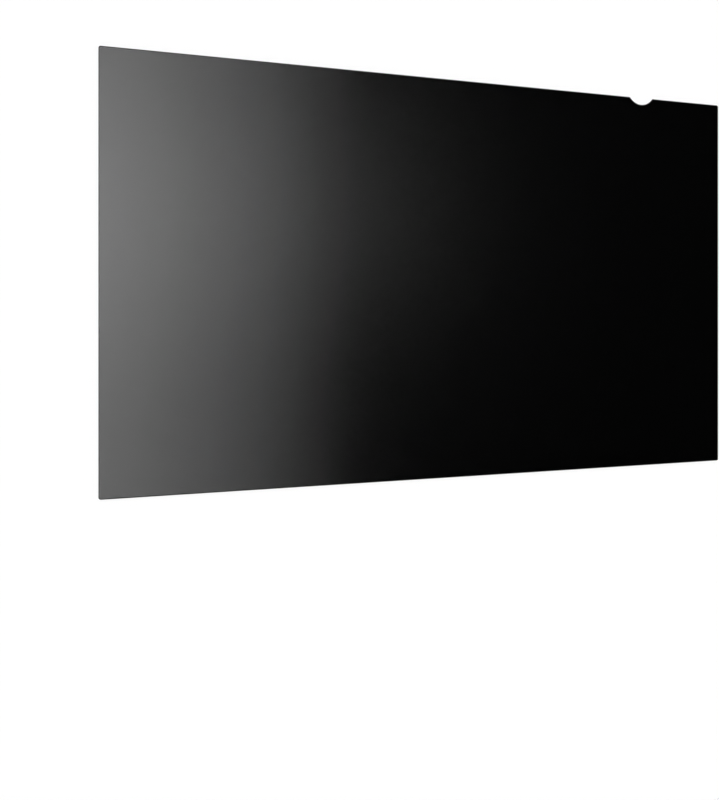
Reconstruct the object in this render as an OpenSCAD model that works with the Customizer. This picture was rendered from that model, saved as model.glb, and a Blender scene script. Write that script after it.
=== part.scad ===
// Privacy filter of the 24 inch widescreen size: one die-cut sheet of micro-louvre film.
// It lies on its rear face. Its top edge is towards +Y, its right edge as the viewer sees
// it is towards +X, and the viewer's side faces +Z. The origin is the middle of the rear face.

/* [Sheet] */
// Width of the sheet
sheet_w = 531.4; // [300:0.1:900]
// Height of the sheet
sheet_h = 298.9; // [180:0.1:520]
// Thickness of the laminated film
sheet_t = 0.5; // [0.3:0.05:1.2]
// Radius of the four corners
corner_r = 1.5; // [0.5:0.1:12]

/* [Finger notch] */
// Radius of the round punch that cuts the notch
notch_r = 15; // [9:0.5:40]
// Depth of the notch at its middle
notch_depth = 5.5; // [3:0.5:8]
// Distance from the right edge of the sheet to the middle of the notch
notch_from_right = 81.5; // [45:0.5:140]

/* [Cut edge] */
// Width and depth of the broken edge that the cutting die leaves on both faces
edge_break = 0.06; // [0.02:0.01:0.12]

/* [Hidden] */
$fn = 96;
// The corner arcs turn about points one radius in from both edges
corner_x = sheet_w / 2 - corner_r;
corner_y = sheet_h / 2 - corner_r;
// The punch stands above the top edge, so that only its lowest part bites
notch_x = sheet_w / 2 - notch_from_right;
notch_y = sheet_h / 2 + notch_r - notch_depth;

// Section through the whole sheet, span wide, with all four long edges broken
module sheet_section(span) {
    side = span / 2;
    flat = side - edge_break;
    polygon([
        [-flat, 0],
        [flat, 0],
        [side, edge_break],
        [side, sheet_t - edge_break],
        [flat, sheet_t],
        [-flat, sheet_t],
        [-side, sheet_t - edge_break],
        [-side, edge_break]
    ]);
}

// One rounded corner, the same section turned about the corner's centre
module corner() {
    rotate_extrude()
        intersection() {
            sheet_section(2 * corner_r);
            square([corner_r, sheet_t]);
        }
}

// The sheet before the notch is cut: two crossing slabs and four turned corners
module blank() {
    rotate([90, 0, 90])
        linear_extrude(2 * corner_x, center = true)
            sheet_section(sheet_h);
    rotate([90, 0, 0])
        linear_extrude(2 * corner_y, center = true)
            sheet_section(sheet_w);
    for (x = [-corner_x, corner_x], y = [-corner_y, corner_y])
        translate([x, y, 0])
            corner();
}

// The punch, waisted between the faces so that the notch's rim is broken like the edges.
// It reaches past both faces by the same slope as the break.
module finger_punch() {
    rotate_extrude()
        polygon([
            [0, -edge_break],
            [notch_r + 2 * edge_break, -edge_break],
            [notch_r, edge_break],
            [notch_r, sheet_t - edge_break],
            [notch_r + 2 * edge_break, sheet_t + edge_break],
            [0, sheet_t + edge_break]
        ]);
}

module filter_sheet() {
    color("#17181a")
        difference() {
            blank();
            translate([notch_x, notch_y, 0])
                finger_punch();
        }
}

filter_sheet();
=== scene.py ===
# %% [markdown]
# A privacy filter is one thin sheet of plastic that looks clear from straight ahead and
# black from the side. This lesson dresses the measured sheet: a satin clear film, the fine
# black louvres inside it, the dark line of its cut edge, and a plain white studio around it.
# All of it is in metres and in the frame of the measured model, so no piece is placed by eye.
# The sheet lies on its back with its top edge towards +Y.

# %% Load the measured sheet
import math

import bmesh
import bpy
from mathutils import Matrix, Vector


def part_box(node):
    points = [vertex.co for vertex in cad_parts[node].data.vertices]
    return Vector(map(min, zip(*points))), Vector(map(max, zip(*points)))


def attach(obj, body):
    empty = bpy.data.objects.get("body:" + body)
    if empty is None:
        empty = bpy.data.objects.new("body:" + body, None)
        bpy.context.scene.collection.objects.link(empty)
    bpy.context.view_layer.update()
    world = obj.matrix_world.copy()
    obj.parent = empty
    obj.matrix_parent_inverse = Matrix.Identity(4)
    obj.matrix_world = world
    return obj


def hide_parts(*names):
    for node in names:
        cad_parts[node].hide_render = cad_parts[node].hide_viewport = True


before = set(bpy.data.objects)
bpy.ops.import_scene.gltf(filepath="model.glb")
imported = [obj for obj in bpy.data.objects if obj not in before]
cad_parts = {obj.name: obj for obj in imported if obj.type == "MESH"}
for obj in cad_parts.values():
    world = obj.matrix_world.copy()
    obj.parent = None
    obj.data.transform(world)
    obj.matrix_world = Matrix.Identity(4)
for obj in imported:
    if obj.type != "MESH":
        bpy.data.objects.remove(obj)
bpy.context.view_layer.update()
sheet_low, sheet_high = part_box("filter_sheet")
MM = 0.001
WIDTH, HEIGHT, THICK = sheet_high - sheet_low
print("measured:", *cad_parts)
print(f"sheet {WIDTH / MM:.1f} by {HEIGHT / MM:.1f} by {THICK / MM:.2f} mm")

# %% [markdown]
# The camera comes first, because every later choice is judged through it. It could be set by
# eye, but a flat rectangle brings its own measure: where its four corners fall in the picture
# fixes the lens, the turn and the distance, once its proportions are known to be 16:9. The
# short edges stay parallel in the picture, so the camera isn't tipped towards them. Its frame
# is shifted instead, as on a view camera.

# %% Camera over the lying sheet
# In pixels of the photograph: its height, the row of its horizon and the focal length
PHOTO_LONG_SIDE = 800
PHOTO_HORIZON = 319.5
FOCAL_PIXELS = 1303.2
CAMERA_TURN = math.radians(26.94)
CAMERA_PLACE = (-501.1 * MM, -30.8 * MM, 842 * MM + THICK)
# In millimetres, as Blender gives lenses too. It spans the picture's longer side.
SENSOR = 36


def put_in_scene(name, data):
    thing = bpy.data.objects.new(name, data)
    bpy.context.scene.collection.objects.link(thing)
    return thing


camera_data = bpy.data.cameras.new("camera")
camera_data.sensor_width = SENSOR
camera_data.lens = FOCAL_PIXELS * SENSOR / PHOTO_LONG_SIDE
camera_data.shift_y = -(PHOTO_LONG_SIDE / 2 - PHOTO_HORIZON) / PHOTO_LONG_SIDE
camera = put_in_scene("camera", camera_data)
camera.location = CAMERA_PLACE
camera.rotation_euler = (0, -CAMERA_TURN, 0)
bpy.context.scene.camera = camera
print(f"lens {camera_data.lens:.1f} mm, shift {camera_data.shift_y:.3f}")

# %% [markdown]
# A material is a graph of nodes, and so is the world. Writing each node, its settings and its
# links out in full makes long scripts, so one function empties a new graph, and one adds a
# node of any kind together with what feeds it. Colours are picked as hex values, which count
# evenly to the eye, and a third function turns them to the linear light that the renderer
# adds up. All three serve every finish below, and the studio too.

# %% Colours and nodes
def linear(hex_colour):
    """Undoes the sRGB curve of a colour, and adds a full alpha."""
    channels = [int(hex_colour[i:i + 2], 16) / 255 for i in (1, 3, 5)]
    return [c / 12.92 if c <= 0.04045 else ((c + 0.055) / 1.055) ** 2.4 for c in channels] + [1]


def emptied(owner):
    """Gives a new material or world a graph without any node, and returns it."""
    owner.use_nodes = True
    owner.node_tree.nodes.clear()
    return owner


def add(owner, kind, settings=None, **inputs):
    """Adds a node. Each input is a value or another node's output, and _2 means input 2."""
    node = owner.node_tree.nodes.new(kind)
    for name, value in (settings or {}).items():
        setattr(node, name, value)
    for name, value in inputs.items():
        key = int(name[1:]) if name[1:].isdigit() else name.replace("_", " ")
        if isinstance(value, bpy.types.NodeSocket):
            owner.node_tree.links.new(value, node.inputs[key])
        else:
            node.inputs[key].default_value = value
    return node


print("mid grey #808080 is", round(linear("#808080")[0], 3), "in linear light")

# %% [markdown]
# The film is polyester and polycarbonate, laminated, clear, and coated on both faces against
# glare. To the eye it is a window with a soft bloom where a lamp is mirrored, and no sharp
# reflection. A mix of a clear and a glossy shader wouldn't bend the light, and the louvres
# would close at the wrong angle, so the film is made as what it is: a body of index 1.5 that
# light passes, with a satin surface. Its roughness does both jobs, for it blurs the mirrored
# lamp and whatever lies behind. The bump is only a faint swell, because a deeper one breaks
# the veil of light into white dots.

# %% Clear anti-glare film
FILM_INDEX = 1.5
COAT_ROUGH_LOW = 0.18
COAT_ROUGH_HIGH = 0.22
COAT_GRAIN = 1.8 * MM
COAT_SWELL = 0.02 * MM


def anti_glare_film():
    film = emptied(bpy.data.materials.new("polyester_anti_glare_film"))
    place = add(film, "ShaderNodeTexCoord")
    # The real grain is about 0.02 mm. It is drawn at 1.8 mm, two or three pixels of the picture.
    grain = add(film, "ShaderNodeTexNoise", Vector=place.outputs["Object"],
                Scale=1 / COAT_GRAIN)
    rough = add(film, "ShaderNodeMapRange", Value=grain.outputs["Fac"], To_Min=COAT_ROUGH_LOW,
                To_Max=COAT_ROUGH_HIGH)
    swell = add(film, "ShaderNodeBump", Height=grain.outputs["Fac"], Distance=COAT_SWELL)
    shader = add(film, "ShaderNodeBsdfPrincipled", Roughness=rough.outputs["Result"],
                 Normal=swell.outputs["Normal"], Base_Color=linear("#ffffff"), IOR=FILM_INDEX,
                 Transmission_Weight=1.0)
    add(film, "ShaderNodeOutputMaterial", Surface=shader.outputs["BSDF"])
    return film


film_finish = anti_glare_film()
print(film_finish.name, "has grain of", COAT_GRAIN / MM, "mm")

# %% [markdown]
# The rim is where the die went through. The blade crushes the outermost louvres and smears
# their black resin across the cut, so a sheet that is clear inside is outlined by a thin dark
# line. A dark stripe could be painted by a mask in the film's own material, but here the rim
# gets real faces, and with them a matt finish of its own. Its two blacks follow a noise of
# half a millimetre, which is about the width of the rim itself.

# %% Die-cut edge
CUT_FLECK = 0.5 * MM


def flecked_black(name, fleck, dark, light, **surface):
    """A matt black whose tone wanders between two hex colours over flecks of a given size."""
    black = emptied(bpy.data.materials.new(name))
    place = add(black, "ShaderNodeTexCoord")
    flecks = add(black, "ShaderNodeTexNoise", Vector=place.outputs["Object"], Scale=1 / fleck)
    # The Mix node's inputs 6 and 7 are its two colours, and its output 2 is their blend
    tone = add(black, "ShaderNodeMix", {"data_type": "RGBA"}, Factor=flecks.outputs["Fac"],
               _6=linear(dark), _7=linear(light))
    shader = add(black, "ShaderNodeBsdfPrincipled", Base_Color=tone.outputs[2], **surface)
    add(black, "ShaderNodeOutputMaterial", Surface=shader.outputs["BSDF"])
    return black


cut_finish = flecked_black("die_cut_film_edge", CUT_FLECK, "#0a0a0a", "#141414", Roughness=0.6,
                           Specular_IOR_Level=0.1)
print(cut_finish.name, "has flecks of", CUT_FLECK / MM, "mm")

# %% [markdown]
# The louvres are walls of acrylic resin full of carbon black, cast between the cover films.
# To the eye they are plain black without any gloss, for the resin bends light as the film
# around it does, and so their faces mirror nothing. That is why the specular level is zero
# here: with a mirror on each wall, light that comes in flat would hop along between them and
# the side view would turn grey.

# %% Black louvre resin
# The pigment's own clouds are finer than a pixel of the picture, so they are drawn 2 mm wide
CARBON_CLOUD = 2 * MM

resin_finish = flecked_black("black_louvre_resin", CARBON_CLOUD, "#020202", "#040404",
                             Roughness=0.7, Specular_IOR_Level=0.0)
print(resin_finish.name, "has clouds of", CARBON_CLOUD / MM, "mm")

# %% [markdown]
# The outline is that of a steel-rule die: a rectangle with four tight round corners, and one
# bite from a round punch near the right end of the top edge, where a fingertip lifts the
# sheet. A boolean cut would do it, but it leaves loose points and long thin faces. Instead
# the outline is shaped while it is still one flat face: a vertex bevel rounds the corners, and
# the stretch of the top edge that the punch takes is divided and bent onto the punch's arc.

# %% Round the corners of the blank
CORNER_RADIUS = 1.5 * MM
CORNER_STEPS = 6
# The grid operator's size is half a side, so this gives a square one metre wide, to be scaled
UNIT_SQUARE = 0.5


def rounded_blank():
    bm = bmesh.new()
    bmesh.ops.create_grid(bm, x_segments=1, y_segments=1, size=UNIT_SQUARE)
    bmesh.ops.scale(bm, vec=(WIDTH, HEIGHT, 1), verts=bm.verts)
    bmesh.ops.bevel(bm, geom=bm.verts[:], offset=CORNER_RADIUS, offset_type="OFFSET",
                    segments=CORNER_STEPS, profile=0.5, affect="VERTICES", material=-1)
    return bm


print(f"corners of {CORNER_RADIUS / MM:.1f} mm in {CORNER_STEPS} steps")

# %% Bite out the finger notch
NOTCH_RADIUS = 15 * MM
NOTCH_DEPTH = 5.5 * MM
NOTCH_FROM_RIGHT = 81.5 * MM
NOTCH_STEPS = 24

notch_x = sheet_high.x - NOTCH_FROM_RIGHT
notch_y = sheet_high.y + NOTCH_RADIUS - NOTCH_DEPTH
notch_half = math.sqrt(NOTCH_RADIUS**2 - (notch_y - sheet_high.y) ** 2)


def notch_chord(bm):
    """Splits the top edge where the punch meets it, and returns the piece between."""
    top = max(bm.edges, key=lambda e: sum(v.co.y for v in e.verts) + e.calc_length())
    left = min(top.verts, key=lambda v: v.co.x)
    before_notch = notch_x - notch_half - left.co.x
    _, start = bmesh.utils.edge_split(top, left, before_notch / top.calc_length())
    rest = max(start.link_edges, key=lambda e: sum(v.co.x for v in e.verts))
    _, end = bmesh.utils.edge_split(rest, start, 2 * notch_half / rest.calc_length())
    return next(e for e in start.link_edges if end in e.verts)


def bite_notch(bm):
    cut = bmesh.ops.subdivide_edges(bm, edges=[notch_chord(bm)], cuts=NOTCH_STEPS - 1)
    half_angle = math.asin(notch_half / NOTCH_RADIUS)
    for point in cut["geom_inner"]:
        if isinstance(point, bmesh.types.BMVert):
            turn = (point.co.x - notch_x) / notch_half * half_angle
            point.co.x = notch_x + NOTCH_RADIUS * math.sin(turn)
            point.co.y = notch_y - NOTCH_RADIUS * math.cos(turn)


print(f"notch {2 * notch_half / MM:.1f} mm wide and {NOTCH_DEPTH / MM:.1f} mm deep")

# %% [markdown]
# Now the flat outline becomes a body. A Solidify modifier would do, but the rim needs faces
# that can be picked, so it is thickened in place. The die leaves a hair of a radius along
# both faces, and such a bevel matters more than its size suggests: it is what catches a line
# of light along an edge. Then each broad face is inset, and all that lies outside the inset
# is rim.

# %% Thicken the sheet and break its edges
EDGE_BREAK = 0.06 * MM
BREAK_STEPS = 2


def thick_sheet():
    bm = rounded_blank()
    bite_notch(bm)
    bmesh.ops.solidify(bm, geom=bm.faces[:], thickness=THICK)
    low = min(v.co.z for v in bm.verts)
    bmesh.ops.translate(bm, vec=(0, 0, sheet_low.z - low), verts=bm.verts)
    bmesh.ops.recalc_face_normals(bm, faces=bm.faces)
    level = [e for e in bm.edges if abs(e.verts[0].co.z - e.verts[1].co.z) < THICK / 2]
    bmesh.ops.bevel(bm, geom=level, offset=EDGE_BREAK, offset_type="OFFSET",
                    segments=BREAK_STEPS, profile=0.5, affect="EDGES", material=-1)
    return bm


print(f"edges broken by {EDGE_BREAK / MM:.2f} mm in {BREAK_STEPS} steps")

# %% Part the rim from the clear faces
CUT_RIM = 0.45 * MM
CLEAR, RIM = 0, 1


def film_body():
    bm = thick_sheet()
    broad = sorted(bm.faces, key=lambda f: f.calc_area())[-2:]
    for face in bm.faces:
        face.material_index = RIM
    bmesh.ops.inset_region(bm, faces=broad, thickness=CUT_RIM, use_even_offset=True)
    for face in broad:
        face.material_index = CLEAR
    return bm


def make_piece(bm, name, materials):
    mesh = bpy.data.meshes.new(name)
    bm.to_mesh(mesh)
    bm.free()
    for material in materials:
        mesh.materials.append(material)
    mesh.calc_loop_triangles()
    print(f"{name}: {len(mesh.polygons)} faces, {len(mesh.loop_triangles)} triangles")
    return put_in_scene(name, mesh)


film = make_piece(film_body(), "clear_film", [film_finish, cut_finish])
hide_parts("filter_sheet")
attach(film, "root")

# %% [markdown]
# The louvres give the filter its look: a blind of upright black walls inside the film. Seen
# along them, light passes. Seen across, they close. The look could be faked by a shader that
# darkens with the angle, but such a fake slides about with the camera and goes wrong in a
# mirror. Real walls behave in every view, and they are cheap, for each has only six faces.
# The ratio of gap to height sets the angle at which the view closes. In the film light runs
# steeper than in air, so the closing angle outside is wider than the walls suggest.

# %% Sizes of the louvres
COVER_FILM = 0.05 * MM
# Real louvres stand about 0.1 mm apart. The gap is set by the angle at which the view closes
# in the picture, and the walls by how dark the film is from straight ahead.
LOUVRE_GAP = 0.123 * MM
LOUVRE_THICK = 0.036 * MM

louvre_height = THICK - 2 * COVER_FILM
louvre_pitch = LOUVRE_GAP + LOUVRE_THICK
louvre_count = int((WIDTH - 2 * CUT_RIM) / louvre_pitch)
louvre_span = (louvre_count - 1) * louvre_pitch
flattest_ray = math.atan(LOUVRE_GAP / louvre_height)
closing = math.degrees(math.asin(FILM_INDEX * math.sin(flattest_ray)))
print(f"{louvre_count} louvres at {louvre_pitch / MM:.3f} mm, shut from {closing:.0f} degrees")

# %% [markdown]
# All the walls start as one grid of edges. A grid one cell high has an upright edge at every
# louvre, so its faces and its lengthwise edges are deleted and the uprights are what is left.
# Each is trimmed to the outline, drawn up into a wall and given its thickness, all of them at
# once. An Array modifier would be shorter, but its copies can't stop at the notch.

# %% Where each louvre ends
def top_edge_at(x):
    """Height of the sheet's top edge at x, on the corner arcs and in the notch too."""
    corner_x = sheet_high.x - CORNER_RADIUS
    if abs(x) > corner_x:
        rise = math.sqrt(max(0, CORNER_RADIUS**2 - (abs(x) - corner_x) ** 2))
        return sheet_high.y - CORNER_RADIUS + rise
    if abs(x - notch_x) < notch_half:
        return notch_y - math.sqrt(NOTCH_RADIUS**2 - (x - notch_x) ** 2)
    return sheet_high.y


print(f"top edge {top_edge_at(0) / MM:.1f} mm, in the notch {top_edge_at(notch_x) / MM:.1f} mm")

# %% One upright edge for each louvre
def louvre_lines():
    bm = bmesh.new()
    bmesh.ops.create_grid(bm, x_segments=louvre_count - 1, y_segments=1, size=UNIT_SQUARE)
    bmesh.ops.scale(bm, vec=(louvre_span, HEIGHT, 1), verts=bm.verts)
    bmesh.ops.delete(bm, geom=bm.faces[:], context="FACES_ONLY")
    lengthwise = [e for e in bm.edges if e.calc_length() < HEIGHT / 2]
    bmesh.ops.delete(bm, geom=lengthwise, context="EDGES")
    for v in bm.verts:
        # The bottom edge mirrors the top one, except that it is straight under the notch
        under_notch = v.co.y < 0 and abs(v.co.x - notch_x) < notch_half
        reach = sheet_high.y if under_notch else top_edge_at(v.co.x)
        v.co.y = math.copysign(reach - CUT_RIM, v.co.y)
    return bm


print(f"louvres spread over {louvre_span / MM:.1f} mm, ends {CUT_RIM / MM:.2f} mm inside")

# %% Raise the walls
def louvre_stack():
    bm = louvre_lines()
    walls = bmesh.ops.extrude_edge_only(bm, edges=bm.edges[:])["geom"]
    tops = [v for v in walls if isinstance(v, bmesh.types.BMVert)]
    bmesh.ops.translate(bm, vec=(0, 0, louvre_height), verts=tops)
    bmesh.ops.solidify(bm, geom=bm.faces[:], thickness=LOUVRE_THICK)
    bmesh.ops.translate(bm, vec=(0, 0, sheet_low.z + COVER_FILM), verts=bm.verts)
    bmesh.ops.recalc_face_normals(bm, faces=bm.faces)
    return bm


louvres = make_piece(louvre_stack(), "louvres", [resin_finish])
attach(louvres, "root")

# %% [markdown]
# The sheet lies on white paper, and the paper has to look white both beside it and through
# it. Lamps bright enough for that would wash out the film, so the paper glows a little, but
# only for rays that come from the camera, straight, mirrored or through the film. The lamps
# give the rest, so the paper still darkens where the sheet shades it. The two shares add up
# to one, which is white. The share that glows is also what sets how light the film looks,
# because the film shades the paper under it from the lamps.

# %% White paper floor
FLOOR_REACH = 8.0
# A hair of air, so that the paper and the sheet's rear face don't share one plane
FLOOR_DROP = 0.3 * MM
PAPER_GLOW = 0.41
PAPER_WHITE = "#cccccc"


def white_paper():
    paper = emptied(bpy.data.materials.new("white_paper_floor"))
    rays = add(paper, "ShaderNodeLightPath")
    seen = rays.outputs["Is Camera Ray"]
    for ray in ("Is Glossy Ray", "Is Transmission Ray"):
        seen = add(paper, "ShaderNodeMath", {"operation": "MAXIMUM"}, _0=seen,
                   _1=rays.outputs[ray]).outputs[0]
    glow = add(paper, "ShaderNodeMath", {"operation": "MULTIPLY"}, _0=seen, _1=PAPER_GLOW)
    shine = add(paper, "ShaderNodeEmission", Strength=glow.outputs[0])
    matt = add(paper, "ShaderNodeBsdfDiffuse", Color=linear(PAPER_WHITE))
    both = add(paper, "ShaderNodeAddShader", _0=matt.outputs[0], _1=shine.outputs[0])
    add(paper, "ShaderNodeOutputMaterial", Surface=both.outputs[0])
    return paper


def paper_sheet():
    bm = bmesh.new()
    bmesh.ops.create_grid(bm, x_segments=1, y_segments=1, size=FLOOR_REACH)
    bmesh.ops.translate(bm, vec=(0, 0, sheet_low.z - FLOOR_DROP), verts=bm.verts)
    return bm


floor = make_piece(paper_sheet(), "floor", [white_paper()])

# %% [markdown]
# A satin film shows what hangs over it, so the studio's ceiling is part of the finish. Here
# it is dark, with one soft patch of light above the left of the sheet, and the film wears
# that patch as a faint grey veil that fades to the right and towards the bottom. An area lamp
# would do this too, but its edge would show. Painted into the world as a soft oval gradient,
# the patch has no edge. Round about, the world stays white up to well above the horizon, as
# the backdrop behind a low view.

# %% World with a soft patch overhead
# Directions in the world are points on a ball of radius one, with +Z straight overhead
PATCH_AIM = (0.175, 0.085, 0.965)
PATCH_REACH = (0.345, 0.15, 1.0)
PATCH_LIGHT = 3.4
BACKDROP_TOP = 0.2
BACKDROP_END = 0.42


def studio_world():
    world = emptied(bpy.data.worlds.new("studio"))
    look = add(world, "ShaderNodeTexCoord")
    height = add(world, "ShaderNodeSeparateXYZ", Vector=look.outputs["Generated"])
    backdrop = add(world, "ShaderNodeMapRange", {"interpolation_type": "SMOOTHSTEP"},
                   Value=height.outputs["Z"], From_Min=BACKDROP_TOP, From_Max=BACKDROP_END,
                   To_Min=1.0, To_Max=0.0)
    around = add(world, "ShaderNodeMapping", {"vector_type": "TEXTURE"},
                 Vector=look.outputs["Generated"], Location=PATCH_AIM, Scale=PATCH_REACH)
    patch = add(world, "ShaderNodeTexGradient", {"gradient_type": "SPHERICAL"},
                Vector=around.outputs[0])
    light = add(world, "ShaderNodeMath", {"operation": "MULTIPLY_ADD"}, _0=patch.outputs["Fac"],
                _1=PATCH_LIGHT, _2=backdrop.outputs["Result"])
    sky = add(world, "ShaderNodeBackground", Color=linear("#ffffff"), Strength=light.outputs[0])
    add(world, "ShaderNodeOutputWorld", Surface=sky.outputs[0])
    return world


bpy.context.scene.world = studio_world()
print("patch overhead towards", PATCH_AIM)

# %% [markdown]
# One lamp does the lighting. A sun lamp falls evenly over the paper, where an area lamp would
# leave it brighter in the middle, and a wide angle makes its shadows soft. It stands to the
# left, on the camera's side, so that its own mirrored glare passes well clear of the lens.
# Its strength is such that, with what the world adds, a colour lying flat renders about as it
# is written.

# %% Key light
KEY_FROM = Vector((-1.2, 0.6, 1.6))
KEY_LIGHT = 3.4
KEY_ANGLE = math.radians(20)

key_data = bpy.data.lights.new("key_sun", "SUN")
key_data.energy = KEY_LIGHT
key_data.angle = KEY_ANGLE
key = put_in_scene("key_sun", key_data)
key.location = KEY_FROM
key.rotation_euler = KEY_FROM.to_track_quat("Z", "Y").to_euler()
flat_light = KEY_LIGHT * KEY_FROM.normalized().z / math.pi
print(f"the lamp alone renders a flat white at {flat_light:.2f}")

# %% [markdown]
# Last comes the view transform. Standard shows colours as they are written, with no film curve.

# %% View transform
bpy.context.scene.view_settings.view_transform = "Standard"
